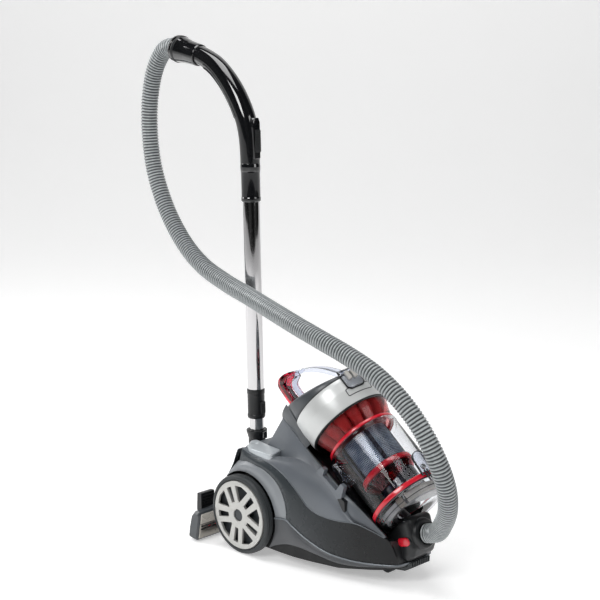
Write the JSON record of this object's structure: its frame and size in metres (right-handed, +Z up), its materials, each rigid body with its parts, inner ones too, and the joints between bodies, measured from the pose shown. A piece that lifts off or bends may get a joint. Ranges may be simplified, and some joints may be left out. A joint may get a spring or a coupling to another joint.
{
  "type": "canister vacuum cleaner",
  "caption": "Bagless canister vacuum cleaner with a tilted clear dust bin, carry handle, corrugated hose, chrome wand and floor nozzle parked upright at the back.",
  "frame": {"origin": "on the floor, under the middle of the object without its hose", "axes": "+X towards the nose where the hose plugs in, +Y to the left, +Z up"},
  "size_m": [0.9481, 0.33, 1.0301],
  "materials": {
    "body_grey": "satin dark grey with fine moulded texture",
    "gloss_black": "high gloss black",
    "satin_black": "satin black",
    "silver_trim": "silver painted plastic",
    "chrome": "polished chrome",
    "clear_plastic": "clear moulded plastic",
    "red_clear": "clear red moulded plastic",
    "red_plastic": "gloss red",
    "rubber_black": "matt rubber",
    "hose_grey": "corrugated flexible plastic",
    "steel": "perforated and turned steel",
    "foam": "open cell foam",
    "filter_white": "pleated filter paper"
  },
  "bodies": {
    "canister": {"chassis_base": "body_grey", "upper_housing": "body_grey", "cradle_fin_right": "body_grey", "cradle_fin_left": "body_grey", "side_panel_right": "gloss_black", "side_panel_left": "gloss_black", "fender_right": "body_grey", "fender_left": "body_grey", "exhaust_grille": "satin_black", "exhaust_filter": "filter_white", "dock_bracket": "satin_black", "nose_bumper": "rubber_black", "connector_block": "satin_black", "hose_collar": "satin_black", "cord_gland": "rubber_black", "power_spring": "steel", "rewind_spring": "steel", "motor_case": "steel", "reel_shaft": "steel", "axle_right": "steel", "axle_left": "steel", "hose": "hose_grey"},
    "wheel_right": {"tyre_right": "rubber_black", "hub_cap_right": "silver_trim"},
    "wheel_left": {"tyre_left": "rubber_black", "hub_cap_left": "silver_trim"},
    "caster_fork": {"caster_fork": "satin_black"},
    "caster_wheel": {"caster_wheel": "rubber_black"},
    "power_pedal": {"power_pedal": "silver_trim"},
    "rewind_pedal": {"rewind_pedal": "silver_trim"},
    "hose_release": {"hose_release_button": "red_plastic"},
    "motor_rotor": {"motor_fan": "satin_black"},
    "cord_reel": {"cord_reel": "satin_black"},
    "bin": {"bin_cover": "body_grey", "silver_band": "silver_trim", "cyclone_body": "red_clear", "bin_ring": "red_plastic", "dust_bin": "clear_plastic", "mesh_filter": "steel", "filter_skirt": "red_plastic", "lid_gasket": "red_plastic", "bottom_lid": "clear_plastic", "lid_pin": "steel", "foam_filter": "foam", "carry_handle": "clear_plastic"},
    "lid_latch": {"lid_latch": "clear_plastic"},
    "handle_trigger": {"handle_trigger": "red_plastic"},
    "wand_upper": {"hand_grip": "gloss_black", "grip_cuff": "gloss_black", "outer_tube": "chrome", "tube_collar": "chrome"},
    "suction_slider": {"suction_slider": "satin_black"},
    "tube_lock": {"tube_lock_button": "satin_black"},
    "wand_lower": {"inner_tube": "chrome", "nozzle_neck": "satin_black"},
    "neck_latch": {"neck_latch": "satin_black"},
    "nozzle": {"nozzle_shell": "body_grey", "sole_plate": "chrome"},
    "nozzle_pedal": {"nozzle_pedal": "satin_black"}
  },
  "joints": [
    {"name": "wheel_right_spin", "type": "hinge", "parent": "canister", "child": "wheel_right", "pos_m": [-0.02597, -0.13, 0.082], "axis": [0, 1, 0], "continuous": true},
    {"name": "wheel_left_spin", "type": "hinge", "parent": "canister", "child": "wheel_left", "pos_m": [-0.02597, 0.13, 0.082], "axis": [0, 1, 0], "continuous": true},
    {"name": "caster_swivel", "type": "hinge", "parent": "canister", "child": "caster_fork", "pos_m": [0.26603, 0, 0.05], "axis": [0, 0, 1], "continuous": true},
    {"name": "caster_spin", "type": "hinge", "parent": "caster_fork", "child": "caster_wheel", "pos_m": [0.25403, 0, 0.017], "axis": [0, 1, 0], "continuous": true},
    {"name": "power_pedal_press", "type": "slide", "parent": "canister", "child": "power_pedal", "axis": [0, 0, -1], "range_m": [0, 0.003], "stiffness_N_per_m": 800, "springref_m": -0.003, "deforming": ["power_spring"]},
    {"name": "rewind_pedal_press", "type": "slide", "parent": "canister", "child": "rewind_pedal", "axis": [0, 0, -1], "range_m": [0, 0.003], "stiffness_N_per_m": 800, "springref_m": -0.003, "deforming": ["rewind_spring"]},
    {"name": "hose_release_press", "type": "slide", "parent": "canister", "child": "hose_release", "axis": [0, 1, 0], "range_m": [0, 0.003], "stiffness_N_per_m": 500, "springref_m": -0.002},
    {"name": "motor_spin", "type": "hinge", "parent": "canister", "child": "motor_rotor", "pos_m": [-0.01597, -0.04, 0.118], "axis": [0, 1, 0], "continuous": true},
    {"name": "reel_spin", "type": "hinge", "parent": "canister", "child": "cord_reel", "pos_m": [-0.01597, 0.045, 0.118], "axis": [0, 1, 0], "continuous": true},
    {"name": "bin_lift", "type": "slide", "parent": "canister", "child": "bin", "axis": [0, 0, 1], "range_m": [0, 0.12]},
    {"name": "lid_latch_press", "type": "hinge", "parent": "bin", "child": "lid_latch", "pos_m": [0.34715, 0, 0.234], "axis": [0, -1, 0], "range_deg": [0, 8], "stiffness_Nm_per_rad": 0.1, "springref_deg": -17.19},
    {"name": "trigger_squeeze", "type": "slide", "parent": "bin", "child": "handle_trigger", "axis": [0.628, 0, 0.7782], "range_m": [0, 0.004], "stiffness_N_per_m": 400, "springref_m": -0.004},
    {"name": "wand_telescope", "type": "slide", "parent": "canister", "child": "wand_upper", "axis": [-0.026, 0, 0.9997], "range_m": [0, 0.33], "deforming": ["hose"]},
    {"name": "suction_slide", "type": "slide", "parent": "wand_upper", "child": "suction_slider", "axis": [-0.026, 0, 0.9997], "range_m": [0, 0.012]},
    {"name": "tube_lock_slide", "type": "slide", "parent": "wand_upper", "child": "tube_lock", "axis": [0.026, 0, -0.9997], "range_m": [0, 0.006], "stiffness_N_per_m": 150, "springref_m": -0.004},
    {"name": "wand_undock", "type": "slide", "parent": "canister", "child": "wand_lower", "axis": [-0.026, 0, 0.9997], "range_m": [0, 0.024]},
    {"name": "neck_latch_slide", "type": "slide", "parent": "wand_lower", "child": "neck_latch", "axis": [0.026, 0, -0.9997], "range_m": [0, 0.003], "stiffness_N_per_m": 150, "springref_m": -0.003},
    {"name": "nozzle_tilt", "type": "hinge", "parent": "wand_lower", "child": "nozzle", "pos_m": [-0.11954, 0, 0.10496], "axis": [0, 1, 0], "range_deg": [0, 80]},
    {"name": "nozzle_pedal_rock", "type": "hinge", "parent": "nozzle", "child": "nozzle_pedal", "pos_m": [-0.15725, 0, 0.07397], "axis": [0, 1, 0], "range_deg": [-4, 4]}
  ]
}
